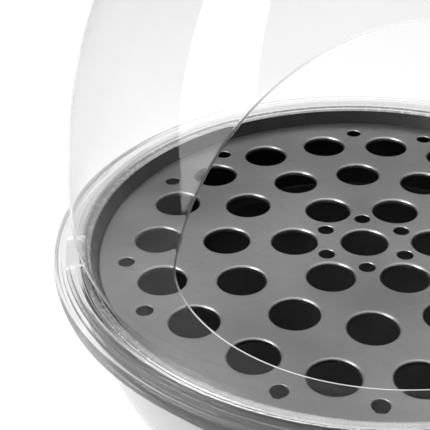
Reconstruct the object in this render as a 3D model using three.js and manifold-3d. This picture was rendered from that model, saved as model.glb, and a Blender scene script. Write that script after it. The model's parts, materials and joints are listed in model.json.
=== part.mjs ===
// Counter-top egg cooker: a white bowl-shaped base with a dark heating pan, a perforated egg tray,
// and a clear dome with a scooped front opening.  Millimetres, +Z up, the opening faces -Y.
// The origin is the middle of the footprint, on the surface the feet stand on.
// Heights below are measured from the tray's top face; piece() lifts every body by TRAY_TOP.
import * as THREE from "three";
import { mergeVertices } from "three/addons/utils/BufferGeometryUtils.js";
import Module from "manifold-3d";

const wasm = await Module();
wasm.setup();

// ---- driving sizes -------------------------------------------------------------------------
const GAP = 0.3; // air left between neighbouring pieces
const REACH = 5; // how far a cutting body runs past the face it cuts
const TRAY_TOP = 158; // height of the tray's top face above the floor
const TRAY_RADIUS = 204.8;
const TRAY_THICK = 1.5;
const TRAY_TURN = -5.2; // the loose tray lies turned a little in the pan, degrees
const SEAT_RADIUS = 18;
const SEAT_RINGS = [
  { radius: 54.0, count: 6, start: -120 },
  { radius: 106.7, count: 12, start: -90 },
  { radius: 160.7, count: 18, start: -100 },
];
const STEAM_RADIUS = 6.2;
const STEAM_RINGS = [
  { radius: 34.0, count: 6, start: -90 },
  { radius: 184.0, count: 6, start: -90 }, // two holes in each sixth of the edge
  { radius: 184.0, count: 6, start: -110 },
];

const DOME_RADIUS = 221.4;
const DOME_MID = 49.1; // height of the widest ring
const DOME_RISE = 298; // half-ellipse height above the widest ring
const DOME_DROP = 111.4; // half-ellipse height below it
const DOME_WALL = 1.2;
const DOME_FOOT = 13.6; // underside of the dome's foot
const DOME_NECK = 20; // where the bulb meets its straight foot
const DOME_FOOT_RADIUS = 222;
const DOME_FOOT_THICK = 2.4;
const DOME_CROWN = 18; // radius inside which the crown is drawn as one cone
const DOME_HOLE = 4.2;
const DOME_APEX = DOME_MID + DOME_RISE;
const SCOOP_PLANE = -167.2; // the upright cut of the front opening
const SCOOP_DEPTH = 100; // seen from the side, the cut runs on below as a quarter ellipse
const SCOOP_RISE = 63.4;
const SCOOP_FLOOR = 38; // the ellipse's lowest point, in front of the dome

const WASHER_THICK = 1.5;
const CROWN_FALL = 0.6; // how far the crown has dropped at the inner washer's edge
const INNER_WASHER_TOP = DOME_APEX - DOME_WALL - CROWN_FALL - GAP;
const INNER_WASHER_THICK = 1.2;
const KNOB_LOW = DOME_APEX + WASHER_THICK + 2 * GAP;
const KNOB_BORE = 3.4;
const KNOB_SCREW = 3;

const RIM_RADIUS = 238;
const RIM_INNER = 213.6;
const RIM_TOP = 13.3;
const RIM_BOTTOM = 2;
const RIM_SHELF = 9.9; // the recess that takes the seal and the pan's lip
const LIP_RADIUS = 217.5; // outer edge of the pan's folded lip
const LIP_TOP = 12.7;
const BAND_RADIUS = 219.3;
const BAND_BOTTOM = -20;
const BAND_INNER = 209.6;

const KEY_START = -179.5; // the two radial seams beside each key block, degrees
const KEY_END = -169.5;
const KEY_INNER = 214.7;
const KEY_OUTER = 228;
const KEY_HEIGHT = 2.6;
const KEY_CLEARANCE = 0.5; // air between a key block and its notch in the dome's foot
const SEAM = 0.4; // half a seam between a key block and the drip lip, degrees

const BOWL_RADIUS = 217.7;
const BOWL_DEPTH = 207.9; // semi-height of the bowl's ellipse, centred on the tray's plane
const BOWL_WALL = 3.2;
const BOWL_TOP = BAND_BOTTOM - GAP;
const BOWL_BOTTOM = -150;
const COVER_RADIUS = 146.8;
const COVER_TOP = -144.3;
const COVER_THICK = 3.2;
const COVER_UNDER = COVER_TOP - COVER_THICK - GAP;
const LEDGE_RADIUS = 132;
const LEDGE_LOW = COVER_TOP + GAP;
const LEDGE_TOP = LEDGE_LOW + 3;
const SCREW_RING = 139.5;
const FOOT_RING = 120;

const PAN_DEPTH = -65; // inside floor of the pan
const PAN_WALL = 1.2;
const TRAY_REST = -TRAY_THICK - GAP; // the pan's step that carries the tray
const HEAT_TOP = PAN_DEPTH - PAN_WALL - GAP;
const HEAT_THICK = 6;
const HEAT_RADIUS = 138;
const HEAT_UNDER = HEAT_TOP - HEAT_THICK - GAP;
const ELEMENT_RADIUS = 106;
const ELEMENT_OPEN = 12; // half the angle left open at the back of the element, degrees
const ELEMENT_TUBE = 4.2;
const ELEMENT_Z = HEAT_UNDER - ELEMENT_TUBE - 0.2;
const ELEMENT_LEG = 24; // how far its two ends turn down
const SHIELD_Z = -112;
const SHEET = 1.2; // sheet metal of the shield

const FRONT_FACE = -218; // front of the control housing
const PANEL_HALF = 64;
const PANEL_LOW = -114;
const PANEL_HIGH = -50;
const PANEL_MID = (PANEL_LOW + PANEL_HIGH) / 2;
const PANEL_CORNER = 12;
const FASCIA_THICK = 2;
const PANEL_FRONT = FRONT_FACE - GAP - FASCIA_THICK; // front of the fascia
const HOUSING_ROOT = 120; // the housings are drawn from here and trimmed to the bowl
const DIAL_X = -34;
const SPINDLE_RADIUS = 3;
const SWITCH_X = 34;
const LAMP_X = 0;
const LAMP_Z = PANEL_MID + 14;
const LAMP_RADIUS = 4;
const SWITCH_HALF = { x: 7, z: 11 }; // body of the switch behind the fascia
const ROCKER_AXIS = FRONT_FACE + 0.6; // the switch key turns about a line along X here
const ROCKER_PIN = 1.2;
const ROCKER_TILT = 10;

const BACK_FACE = 216; // back of the inlet housing
const INLET_Z = -92;
const SOCKET_HALF = { x: 15.2, z: 12.2 };
const PIN_HALF = { x: 2, z: 1 };

const ROUND = 48; // facets round the large revolved pieces
const DOME_ROUND = 60;
const MIDDLE_ROUND = 36;
const SMALL_ROUND = 16;
const TINY_ROUND = 10;
const CURVE_STEPS = 8; // straight steps along a quarter of an ellipse
const root = new THREE.Group();

// ---- geometry helpers ----------------------------------------------------------------------
function solid(geometry) {
  const g = geometry.clone();
  g.deleteAttribute("normal");
  g.deleteAttribute("uv");
  const merged = mergeVertices(g, 1e-4);
  return new wasm.Manifold(
    new wasm.Mesh({
      numProp: 3,
      vertProperties: new Float32Array(merged.attributes.position.array),
      triVerts: new Uint32Array(merged.index.array),
    }),
  );
}

function toGeometry(body) {
  const m = body.getMesh();
  const n = m.numProp;
  const position = new Float32Array(m.numVert * 3);
  for (let i = 0; i < m.numVert; i++) {
    position.set(m.vertProperties.subarray(i * n, i * n + 3), i * 3);
  }
  const g = new THREE.BufferGeometry();
  g.setAttribute("position", new THREE.BufferAttribute(position, 3));
  g.setIndex(new THREE.BufferAttribute(new Uint32Array(m.triVerts), 1));
  g.computeVertexNormals();
  return g;
}

function radians(degrees) {
  return THREE.MathUtils.degToRad(degrees);
}

function polar(radius, degrees) {
  return [radius * Math.cos(radians(degrees)), radius * Math.sin(radians(degrees))];
}

// Turns a closed outline of [radius, height] points about the Z axis; it may run either way round.
function revolve(outline, facets = ROUND) {
  const onAxis = ([r]) => r < 1e-6;
  let area = 0;
  outline.forEach(([r, z], i) => {
    const [r2, z2] = outline[(i + 1) % outline.length];
    area += r * z2 - r2 * z;
  });
  let points = area > 0 ? [...outline] : [...outline].reverse();
  // A profile that touches the axis starts and ends there; any other one closes on itself.
  if (points.some(onAxis)) {
    const before = (i) => points[(i + points.length - 1) % points.length];
    const first = points.findIndex((p, i) => onAxis(p) && onAxis(before(i)));
    points = [...points.slice(first), ...points.slice(0, first)];
  } else {
    points.push(points[0]);
  }
  const g = new THREE.LatheGeometry(
    points.map(([r, z]) => new THREE.Vector2(r, z)),
    facets,
  );
  g.rotateX(Math.PI / 2); // lathe axis Y becomes Z
  return solid(g);
}

// A plain ring of rectangular section.
function flatRing(inner, outer, low, high, facets = ROUND) {
  return revolve([[inner, low], [outer, low], [outer, high], [inner, high]], facets);
}

// An upright prism from a flat outline of [x, y] points, with round holes if given.
function prism(outline, low, high, holes = []) {
  const shape = new THREE.Shape(outline.map(([x, y]) => new THREE.Vector2(x, y)));
  holes.forEach(({ x, y, radius, facets }) => {
    const edge = [];
    for (let i = 0; i < facets; i++) {
      const [dx, dy] = polar(radius, (-360 * i) / facets);
      edge.push(new THREE.Vector2(x + dx, y + dy));
    }
    const path = new THREE.Path(edge);
    path.closePath();
    shape.holes.push(path);
  });
  const g = new THREE.ExtrudeGeometry(shape, { depth: high - low, bevelEnabled: false });
  g.translate(0, 0, low);
  return solid(g);
}

// A flat outline of [y, z] points pushed along X from one side to the other.
function sidePrism(outline, left, right) {
  const shape = new THREE.Shape(outline.map(([y, z]) => new THREE.Vector2(y, z)));
  const g = new THREE.ExtrudeGeometry(shape, { depth: right - left, bevelEnabled: false });
  g.applyMatrix4(new THREE.Matrix4().makeBasis(
    new THREE.Vector3(0, 1, 0),
    new THREE.Vector3(0, 0, 1),
    new THREE.Vector3(1, 0, 0),
  ));
  g.translate(left, 0, 0);
  return solid(g);
}

function box(x0, x1, y0, y1, z0, z1) {
  const g = new THREE.BoxGeometry(x1 - x0, y1 - y0, z1 - z0);
  g.translate((x0 + x1) / 2, (y0 + y1) / 2, (z0 + z1) / 2);
  return solid(g);
}

// A box about a line along Y: half widths in X and Z round a centre.
function slab(x, z, half, near, far, extra = 0) {
  const halfX = half.x + extra;
  const halfZ = half.z + extra;
  return box(x - halfX, x + halfX, near, far, z - halfZ, z + halfZ);
}

// Rounded in the X-Z plane, straight along Y.
function roundedBox(x0, x1, y0, y1, z0, z1, corner) {
  const steps = 4;
  const centres = [
    [x1 - corner, z1 - corner, 0],
    [x0 + corner, z1 - corner, 90],
    [x0 + corner, z0 + corner, 180],
    [x1 - corner, z0 + corner, 270],
  ];
  const points = [];
  centres.forEach(([cx, cz, start]) => {
    for (let i = 0; i <= steps; i++) {
      const [dx, dz] = polar(corner, start + (90 * i) / steps);
      points.push(new THREE.Vector2(cx + dx, cz + dz));
    }
  });
  const g = new THREE.ExtrudeGeometry(new THREE.Shape(points), { depth: y1 - y0, bevelEnabled: false });
  g.rotateX(Math.PI / 2);
  g.translate(0, y1, 0);
  return solid(g);
}

function cylinder(x, y, low, high, radius, facets = SMALL_ROUND, top = radius) {
  const g = new THREE.CylinderGeometry(top, radius, high - low, facets);
  g.rotateX(Math.PI / 2);
  g.translate(x, y, (low + high) / 2);
  return solid(g);
}

// A cylinder whose axis runs along Y.
function cylinderY(x, z, near, far, radius, facets = SMALL_ROUND) {
  const g = new THREE.CylinderGeometry(radius, radius, far - near, facets);
  g.translate(x, (near + far) / 2, z);
  return solid(g);
}

// The short axle of the switch key, along X.
function axle(radius, length) {
  const g = new THREE.CylinderGeometry(radius, radius, length, SMALL_ROUND);
  g.rotateZ(Math.PI / 2);
  g.translate(SWITCH_X, ROCKER_AXIS, PANEL_MID);
  return solid(g);
}

// The wedge of space between two azimuths, used to keep one arc of a ring.
function wedge(from, to, low, high) {
  const stride = 30;
  const corner = (RIM_RADIUS + REACH) / Math.cos(radians(stride / 2));
  const steps = Math.ceil((to - from) / stride);
  const points = [[0, 0]];
  for (let i = 0; i <= steps; i++) {
    points.push(polar(corner, from + ((to - from) * i) / steps));
  }
  return prism(points, low, high);
}

function piece(name, body, finish) {
  const material = new THREE.MeshStandardMaterial({
    color: new THREE.Color(...finish.color),
    roughness: finish.roughness,
    metalness: finish.metalness,
    transparent: finish.opacity !== undefined,
    opacity: finish.opacity ?? 1,
  });
  const mesh = new THREE.Mesh(toGeometry(body.translate([0, 0, TRAY_TOP])), material);
  mesh.name = name;
  root.add(mesh);
}

// ---- finishes ------------------------------------------------------------------------------
const CLEAR = { color: [0.86, 0.88, 0.89], roughness: 0.05, metalness: 0, opacity: 0.28 };
const WHITE = { color: [0.9, 0.9, 0.9], roughness: 0.18, metalness: 0 };
const BRUSHED = { color: [0.62, 0.62, 0.63], roughness: 0.35, metalness: 1 };
const COATED = { color: [0.05, 0.05, 0.055], roughness: 0.45, metalness: 0.2 };
const DARK_TRIM = { color: [0.2, 0.2, 0.21], roughness: 0.4, metalness: 0 };
const BLACK = { color: [0.03, 0.03, 0.03], roughness: 0.5, metalness: 0 };
const RUBBER = { color: [0.04, 0.04, 0.04], roughness: 0.85, metalness: 0 };
const STEEL = { color: [0.7, 0.7, 0.71], roughness: 0.3, metalness: 1 };
const ALUMINIUM = { color: [0.75, 0.75, 0.76], roughness: 0.45, metalness: 1 };
const AMBER = { color: [0.85, 0.45, 0.08], roughness: 0.15, metalness: 0, opacity: 0.7 };
const BOARD = { color: [0.1, 0.25, 0.15], roughness: 0.5, metalness: 0 };
const BRASS = { color: [0.75, 0.6, 0.3], roughness: 0.3, metalness: 1 };

// ---- the dome and what lifts with it -------------------------------------------------------
// Points of the bulb's side, from its neck up to the hole in the crown.
function domeOutline(inset) {
  const steps = 7;
  const wide = DOME_RADIUS - inset;
  const rise = DOME_RISE - inset;
  const drop = DOME_DROP - inset;
  const neck = Math.asin((DOME_NECK - DOME_MID) / drop);
  const points = [neck, neck / 2].map((a) => [wide * Math.cos(a), DOME_MID + drop * Math.sin(a)]);
  for (let i = 0; i < steps; i++) {
    const a = ((Math.PI / 2) * i) / steps;
    points.push([wide * Math.cos(a), DOME_MID + rise * Math.sin(a)]);
  }
  points.push([DOME_CROWN, DOME_MID + rise * Math.sqrt(1 - (DOME_CROWN / wide) ** 2)]);
  points.push([DOME_HOLE, DOME_MID + rise]);
  return points;
}

function dome() {
  const outer = domeOutline(0);
  const inner = domeOutline(DOME_WALL);
  const footTop = DOME_FOOT + DOME_FOOT_THICK;
  const foot = [
    [outer[0][0], footTop],
    [DOME_FOOT_RADIUS, footTop],
    [DOME_FOOT_RADIUS, DOME_FOOT],
    [inner[0][0], DOME_FOOT],
  ];
  const bulb = revolve([...outer.reverse(), ...foot, ...inner], DOME_ROUND);
  return bulb.subtract(scoop()).subtract(keyArc(0, KEY_CLEARANCE)).subtract(keyArc(1, KEY_CLEARANCE));
}

// Side outline of the front cut: upright at the top, running out forwards as a quarter ellipse.
function scoop() {
  const middleY = SCOOP_PLANE - SCOOP_DEPTH;
  const middleZ = SCOOP_FLOOR + SCOOP_RISE;
  const points = [[SCOOP_PLANE, DOME_APEX]];
  for (let i = 0; i <= CURVE_STEPS; i++) {
    const a = (-Math.PI / 2) * (i / CURVE_STEPS);
    points.push([middleY + SCOOP_DEPTH * Math.cos(a), middleZ + SCOOP_RISE * Math.sin(a)]);
  }
  points.push([middleY, DOME_APEX]);
  return sidePrism(points, -RIM_RADIUS, RIM_RADIUS);
}

function domeKnob() {
  const height = 31;
  const bore = 16;
  return revolve([
    [0, KNOB_LOW + bore],
    [KNOB_BORE, KNOB_LOW + bore],
    [KNOB_BORE, KNOB_LOW],
    [16.5, KNOB_LOW],
    [18, KNOB_LOW + 4],
    [22, KNOB_LOW + height - 9],
    [21.5, KNOB_LOW + height - 4],
    [18, KNOB_LOW + height - 1],
    [0, KNOB_LOW + height],
  ], MIDDLE_ROUND);
}

function knobWasher() {
  const low = DOME_APEX + GAP;
  return flatRing(KNOB_BORE + 0.6, 14, low, low + WASHER_THICK, SMALL_ROUND);
}

function screwWasher() {
  return flatRing(KNOB_BORE, 12, INNER_WASHER_TOP - INNER_WASHER_THICK, INNER_WASHER_TOP, SMALL_ROUND);
}

function knobScrew() {
  const head = INNER_WASHER_TOP - INNER_WASHER_THICK - GAP;
  const headThick = 3.5;
  const headRadius = 6.5;
  const tip = KNOB_LOW + 12;
  return revolve([
    [0, head - headThick],
    [headRadius - 1.5, head - headThick],
    [headRadius, head - headThick + 2],
    [headRadius, head],
    [KNOB_SCREW, head],
    [KNOB_SCREW, tip],
    [0, tip],
  ], SMALL_ROUND);
}

// ---- the rim -------------------------------------------------------------------------------
function rimRing() {
  const groove = { inner: 231.4, outer: 235.2, depth: 1.2 };
  const shelfEdge = LIP_RADIUS + 1.4;
  return revolve([
    [RIM_INNER, RIM_BOTTOM],
    [RIM_RADIUS - 2.2, RIM_BOTTOM],
    [RIM_RADIUS - 0.7, RIM_BOTTOM + 1.2],
    [RIM_RADIUS, RIM_BOTTOM + 6],
    [RIM_RADIUS - 0.4, RIM_TOP - 0.9],
    [RIM_RADIUS - 1.4, RIM_TOP],
    [groove.outer, RIM_TOP],
    [groove.outer - 1, RIM_TOP - groove.depth],
    [groove.inner + 1, RIM_TOP - groove.depth],
    [groove.inner, RIM_TOP],
    [shelfEdge, RIM_TOP],
    [shelfEdge, RIM_SHELF],
    [RIM_INNER, RIM_SHELF],
  ]);
}

// The key block at one side of the rim, or with a margin the notch that clears it.
function keyArc(side, margin = 0) {
  const low = RIM_TOP + GAP - margin;
  const high = RIM_TOP + GAP + KEY_HEIGHT + margin;
  const ring = flatRing(KEY_INNER - margin, KEY_OUTER + margin, low, high, 2 * DOME_ROUND);
  const grow = THREE.MathUtils.radToDeg(margin / KEY_INNER);
  const [from, to] = side === 0 ? [KEY_START, KEY_END] : [-180 - KEY_END, -180 - KEY_START];
  return ring.intersect(wedge(from - grow, to + grow, low - REACH, high + REACH));
}

// A stepped strip round the front of the dome's foot, from one key block to the other.
function dripLip() {
  const low = RIM_TOP + GAP;
  const height = 3.4;
  const ring = revolve([
    [DOME_FOOT_RADIUS + 0.6, low],
    [229.4, low],
    [229.0, low + 1.6],
    [226.6, low + 1.8],
    [226.2, low + height],
    [DOME_FOOT_RADIUS + 1, low + height],
  ], 1.5 * DOME_ROUND);
  return ring.intersect(wedge(KEY_END + SEAM, -180 - KEY_END - SEAM, low - REACH, low + height + REACH));
}

function trimBand() {
  const skirt = -28;
  return revolve([
    [BAND_INNER, skirt],
    [BAND_INNER + 2.3, skirt],
    [BAND_INNER + 2.3, BAND_BOTTOM],
    [BAND_RADIUS - 0.6, BAND_BOTTOM],
    [BAND_RADIUS, BAND_BOTTOM + 0.8],
    [BAND_RADIUS, RIM_BOTTOM - GAP],
    [BAND_INNER, RIM_BOTTOM - GAP],
  ]);
}

function panSeal() {
  const low = RIM_SHELF + GAP;
  return flatRing(RIM_INNER + GAP, LIP_RADIUS - 0.2, low, LIP_TOP - PAN_WALL - GAP);
}

// ---- the pan and tray ----------------------------------------------------------------------
// A coated sheet: floor, rounded corner, side, the step for the tray, and a lip folded outwards.
function heatingPan() {
  const floorEdge = 188;
  const side = 198;
  const stepEdge = 206;
  const neck = 211.3;
  return revolve([
    [0, PAN_DEPTH],
    [floorEdge, PAN_DEPTH],
    [side - 3.5, PAN_DEPTH + 3],
    [side - 1, PAN_DEPTH + 9],
    [side, TRAY_REST],
    [stepEdge, TRAY_REST],
    [neck, LIP_TOP],
    [LIP_RADIUS, LIP_TOP],
    [LIP_RADIUS, LIP_TOP - PAN_WALL],
    [neck + 1, LIP_TOP - PAN_WALL],
    [stepEdge + 0.9, TRAY_REST - PAN_WALL],
    [side + PAN_WALL, TRAY_REST - PAN_WALL],
    [side + 0.2, PAN_DEPTH + 8.8],
    [side - 2.5, PAN_DEPTH + 2.1],
    [floorEdge + 0.3, PAN_DEPTH - PAN_WALL],
    [0, PAN_DEPTH - PAN_WALL],
  ]);
}

function eggTray() {
  const seatFacets = 16;
  const steamFacets = 8;
  const edge = [];
  for (let i = 0; i < DOME_ROUND; i++) edge.push(polar(TRAY_RADIUS, (360 * i) / DOME_ROUND));
  const holes = [{ x: 0, y: 0, radius: SEAT_RADIUS, facets: seatFacets }];
  const addRing = (ring, size, facets) => {
    for (let i = 0; i < ring.count; i++) {
      const [x, y] = polar(ring.radius, ring.start + TRAY_TURN + (360 * i) / ring.count);
      holes.push({ x, y, radius: size, facets });
    }
  };
  SEAT_RINGS.forEach((ring) => addRing(ring, SEAT_RADIUS, seatFacets));
  STEAM_RINGS.forEach((ring) => addRing(ring, STEAM_RADIUS, steamFacets));
  return prism(edge, -TRAY_THICK, 0, holes);
}

// ---- the base ------------------------------------------------------------------------------
// Points down the bowl's side between two heights, moved outwards by an offset.
function bowlSide(high, low, offset) {
  const wide = BOWL_RADIUS + offset;
  const deep = BOWL_DEPTH + offset;
  const from = Math.asin(high / deep);
  const to = Math.asin(low / deep);
  const points = [];
  for (let i = 0; i <= CURVE_STEPS; i++) {
    const a = from + ((to - from) * i) / CURVE_STEPS;
    points.push([wide * Math.cos(a), deep * Math.sin(a)]);
  }
  return points;
}

function baseShell() {
  const recess = COVER_RADIUS + 0.7;
  const controlWindow = { x: 46, low: PANEL_LOW + 10, high: PANEL_HIGH - 8 };
  const inletWindow = { x: 16, z: 13 };
  const shell = revolve([
    ...bowlSide(BOWL_TOP, BOWL_BOTTOM, 0),
    [recess, BOWL_BOTTOM],
    [recess, LEDGE_LOW],
    [LEDGE_RADIUS, LEDGE_LOW],
    [LEDGE_RADIUS, LEDGE_TOP],
    ...bowlSide(BOWL_TOP, LEDGE_TOP, -BOWL_WALL).reverse(),
  ]);
  const front = box(
    -controlWindow.x, controlWindow.x,
    -RIM_RADIUS, -HOUSING_ROOT,
    controlWindow.low, controlWindow.high,
  );
  let cut = shell.subtract(front).subtract(slab(0, INLET_Z, inletWindow, HOUSING_ROOT, RIM_RADIUS));
  screwSpots().forEach(([x, y]) => {
    cut = cut.subtract(cylinder(x, y, LEDGE_LOW - REACH, LEDGE_TOP + REACH, 2.2, TINY_ROUND));
  });
  return cut;
}

// The bowl as one filled body, for trimming the housings to its surface.
function bowlSolid(offset) {
  const high = BOWL_TOP + 12;
  const low = BOWL_BOTTOM - REACH;
  return revolve([[0, high], ...bowlSide(high, low, offset), [0, low]]);
}

function screwSpots() {
  return [0, 90, 180, 270].map((a) => polar(SCREW_RING, a));
}

function footSpots() {
  return [45, 135, 225, 315].map((a) => polar(FOOT_RING, a));
}

function bottomCover() {
  const vents = { ring: 70, count: 12, radius: 4 };
  const edge = [];
  for (let i = 0; i < ROUND; i++) edge.push(polar(COVER_RADIUS, (360 * i) / ROUND));
  const holes = screwSpots().map(([x, y]) => ({ x, y, radius: 2.4, facets: TINY_ROUND }));
  for (let i = 0; i < vents.count; i++) {
    const [x, y] = polar(vents.ring, (360 * (i + 0.5)) / vents.count);
    holes.push({ x, y, radius: vents.radius, facets: TINY_ROUND });
  }
  return prism(edge, COVER_TOP - COVER_THICK, COVER_TOP, holes);
}

function foot(i) {
  const [x, y] = footSpots()[i];
  return cylinder(x, y, -TRAY_TOP, COVER_UNDER, 12.5, SMALL_ROUND, 14.5);
}

function coverScrew(i) {
  const [x, y] = screwSpots()[i];
  const headThick = 2;
  const head = cylinder(x, y, COVER_UNDER - headThick, COVER_UNDER, 4, SMALL_ROUND, 4.4);
  return head.add(cylinder(x, y, COVER_UNDER - 1, LEDGE_TOP + 3, 1.8, SMALL_ROUND));
}

// ---- heating parts, sealed inside the base -------------------------------------------------
function heatPlate() {
  const bevel = 2;
  const under = HEAT_TOP - HEAT_THICK;
  return revolve([
    [0, HEAT_TOP],
    [HEAT_RADIUS - bevel, HEAT_TOP],
    [HEAT_RADIUS, HEAT_TOP - bevel],
    [HEAT_RADIUS, under],
    [0, under],
  ], MIDDLE_ROUND);
}

// A ring left open at the back, with both ends turned down.
class ElementPath extends THREE.Curve {
  getPoint(t, target = new THREE.Vector3()) {
    const leg = 0.07; // share of the length given to each turned-down end
    const along = Math.min(1, Math.max(0, (t - leg) / (1 - 2 * leg)));
    const [x, y] = polar(ELEMENT_RADIUS, 90 + ELEMENT_OPEN + (360 - 2 * ELEMENT_OPEN) * along);
    const fromEnd = Math.min(t, 1 - t);
    const drop = Math.max(0, (leg - fromEnd) / leg);
    return target.set(x, y, ELEMENT_Z - ELEMENT_LEG * drop);
  }
}

function heatingElement() {
  const sides = 8;
  const section = [];
  for (let i = 0; i < sides; i++) {
    const [x, y] = polar(ELEMENT_TUBE, (360 * (i + 0.5)) / sides);
    section.push(new THREE.Vector2(x, y));
  }
  return solid(new THREE.ExtrudeGeometry(new THREE.Shape(section), {
    steps: 52,
    bevelEnabled: false,
    extrudePath: new ElementPath(),
  }));
}

// The insulated sleeve and flat tag under one end of the element.
function terminalTab(side) {
  const [x, y] = polar(ELEMENT_RADIUS, side === 0 ? 90 + ELEMENT_OPEN : 90 - ELEMENT_OPEN);
  const top = ELEMENT_Z - ELEMENT_LEG - GAP;
  const sleeve = cylinder(x, y, top - 5, top, 5, SMALL_ROUND);
  return sleeve.add(box(x - 3.2, x + 3.2, y - 0.5, y + 0.5, top - 8, top - 4));
}

function heatShield() {
  const flat = 148;
  const flare = { radius: 154, rise: 12 };
  return revolve([
    [0, SHIELD_Z],
    [flat, SHIELD_Z],
    [flare.radius, SHIELD_Z + flare.rise],
    [flare.radius - 1, SHIELD_Z + flare.rise + GAP],
    [flat - 0.6, SHIELD_Z + SHEET],
    [0, SHIELD_Z + SHEET],
  ], MIDDLE_ROUND);
}

function plateSpacer(i) {
  const [x, y] = polar(127, 30 + 120 * i);
  return cylinder(x, y, SHIELD_Z + SHEET + GAP, HEAT_UNDER, 5, TINY_ROUND);
}

function shieldPost(i) {
  const [x, y] = polar(SCREW_RING, 15 + 120 * i);
  return cylinder(x, y, LEDGE_TOP + GAP, SHIELD_Z - GAP, 5.5, TINY_ROUND);
}

// A flat plate with cut corners, centred on the Z axis.
function earPlate(halfX, halfY, low, high) {
  const quarter = [[halfX * 0.8, halfY], [halfX, halfY * 0.5]];
  const right = [...quarter, ...quarter.map(([x, y]) => [x, -y]).reverse()];
  const left = right.map(([x, y]) => [-x, y]).reverse();
  return prism([...right, ...left].reverse(), low, high);
}

function thermostatDisc() {
  const can = 14;
  const flange = earPlate(24, 9, HEAT_UNDER - SHEET, HEAT_UNDER);
  const body = cylinder(0, 0, HEAT_UNDER - can, HEAT_UNDER - 1, 9, SMALL_ROUND);
  return flange.add(body).add(box(-5, 5, -1, 1, HEAT_UNDER - can - 6, HEAT_UNDER - can + 1));
}

const FUSE = { x: 58, from: 20, to: 46, radius: 3.2 };

function thermalFuse() {
  return cylinderY(FUSE.x, HEAT_UNDER - FUSE.radius - 0.2, FUSE.from, FUSE.to, FUSE.radius);
}

// A strap under the fuse, held up by two legs beside it.
function fuseClip() {
  const [near, far] = [29, 37];
  const low = HEAT_UNDER - 8;
  const legs = [-5, 5].map((dx) => box(FUSE.x + dx - 1, FUSE.x + dx + 1, near, far, low, HEAT_UNDER));
  return box(FUSE.x - 5, FUSE.x + 5, near, far, low, low + 1).add(legs[0]).add(legs[1]);
}

function terminalBlock() {
  const low = LEDGE_TOP + GAP;
  const middle = { x: -46, y: 132 };
  const pitch = 8;
  let block = box(middle.x - 14, middle.x + 14, middle.y - 6, middle.y + 6, low, low + 12);
  [-pitch, 0, pitch].forEach((dx) => {
    const well = cylinder(middle.x + dx, middle.y, low + 4, low + 12 + REACH, 2.4, TINY_ROUND);
    block = block.subtract(well);
  });
  return block;
}

// ---- controls at the front -----------------------------------------------------------------
function controlHousing() {
  const wall = 4;
  const body = roundedBox(
    -PANEL_HALF, PANEL_HALF, FRONT_FACE, -HOUSING_ROOT, PANEL_LOW, PANEL_HIGH, PANEL_CORNER,
  );
  const hollow = roundedBox(
    -PANEL_HALF + wall, PANEL_HALF - wall,
    FRONT_FACE - REACH, -HOUSING_ROOT,
    PANEL_LOW + wall, PANEL_HIGH - wall,
    PANEL_CORNER - wall + 1,
  );
  return body.subtract(bowlSolid(GAP)).subtract(hollow);
}

function fascia() {
  const back = FRONT_FACE - GAP;
  const from = PANEL_FRONT - REACH;
  const to = back + REACH;
  const plate = roundedBox(
    -PANEL_HALF, PANEL_HALF, PANEL_FRONT, back, PANEL_LOW, PANEL_HIGH, PANEL_CORNER,
  );
  return plate
    .subtract(cylinderY(DIAL_X, PANEL_MID, from, to, SPINDLE_RADIUS + 2))
    .subtract(cylinderY(LAMP_X, LAMP_Z, from, to, LAMP_RADIUS + 0.4))
    .subtract(slab(SWITCH_X, PANEL_MID, SWITCH_HALF, from, to, 0.4));
}

function pilotLens() {
  const cap = cylinderY(LAMP_X, LAMP_Z, PANEL_FRONT - 2.4, PANEL_FRONT - GAP, LAMP_RADIUS + 2);
  return cap.add(cylinderY(LAMP_X, LAMP_Z, PANEL_FRONT - 1, FRONT_FACE + 9, LAMP_RADIUS));
}

function switchFrame() {
  const bezel = slab(SWITCH_X, PANEL_MID, SWITCH_HALF, PANEL_FRONT - 2, PANEL_FRONT - GAP, 2.5);
  const body = slab(SWITCH_X, PANEL_MID, SWITCH_HALF, PANEL_FRONT - 1, FRONT_FACE + 15);
  const well = slab(SWITCH_X, PANEL_MID, { x: 5.6, z: 9.8 }, PANEL_FRONT - 9, FRONT_FACE + 7);
  return bezel.add(body).subtract(well).subtract(axle(ROCKER_PIN + GAP, 13.4));
}

// A shallow V-shaped key, stored with its upper half pressed in.
function switchRocker() {
  const halfHeight = 8.6;
  const halfWidth = 5.2;
  const front = PANEL_FRONT - ROCKER_AXIS; // measured from the axle
  const outline = [
    [front - 2.2, -halfHeight],
    [front - 0.6, 0],
    [front - 2.2, halfHeight],
    [front + 3.4, halfHeight],
    [front + 5.2, 0],
    [front + 3.4, -halfHeight],
  ];
  const key = sidePrism(outline, SWITCH_X - halfWidth, SWITCH_X + halfWidth);
  const leaning = key.rotate([-ROCKER_TILT, 0, 0]).translate([0, ROCKER_AXIS, PANEL_MID]);
  return leaning.add(axle(ROCKER_PIN, 12.8));
}

// Revolved about Z, then laid along Y: height in the outline runs towards the user.
function dial() {
  const height = 15.4;
  const cap = revolve([
    [0, 0],
    [18.5, 0],
    [18.5, 2.5],
    [15.2, 3.2],
    [14.4, height - 1.4],
    [13.2, height],
    [0, height],
  ], MIDDLE_ROUND);
  const pointer = box(-0.8, 0.8, 4, 13.4, height - 0.4, height + 0.6);
  return cap.add(pointer).rotate([90, 0, 0]).translate([DIAL_X, PANEL_FRONT - 2 * GAP, PANEL_MID]);
}

function dialSpindle() {
  return cylinderY(DIAL_X, PANEL_MID, PANEL_FRONT - GAP, FRONT_FACE + 8, SPINDLE_RADIUS);
}

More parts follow.
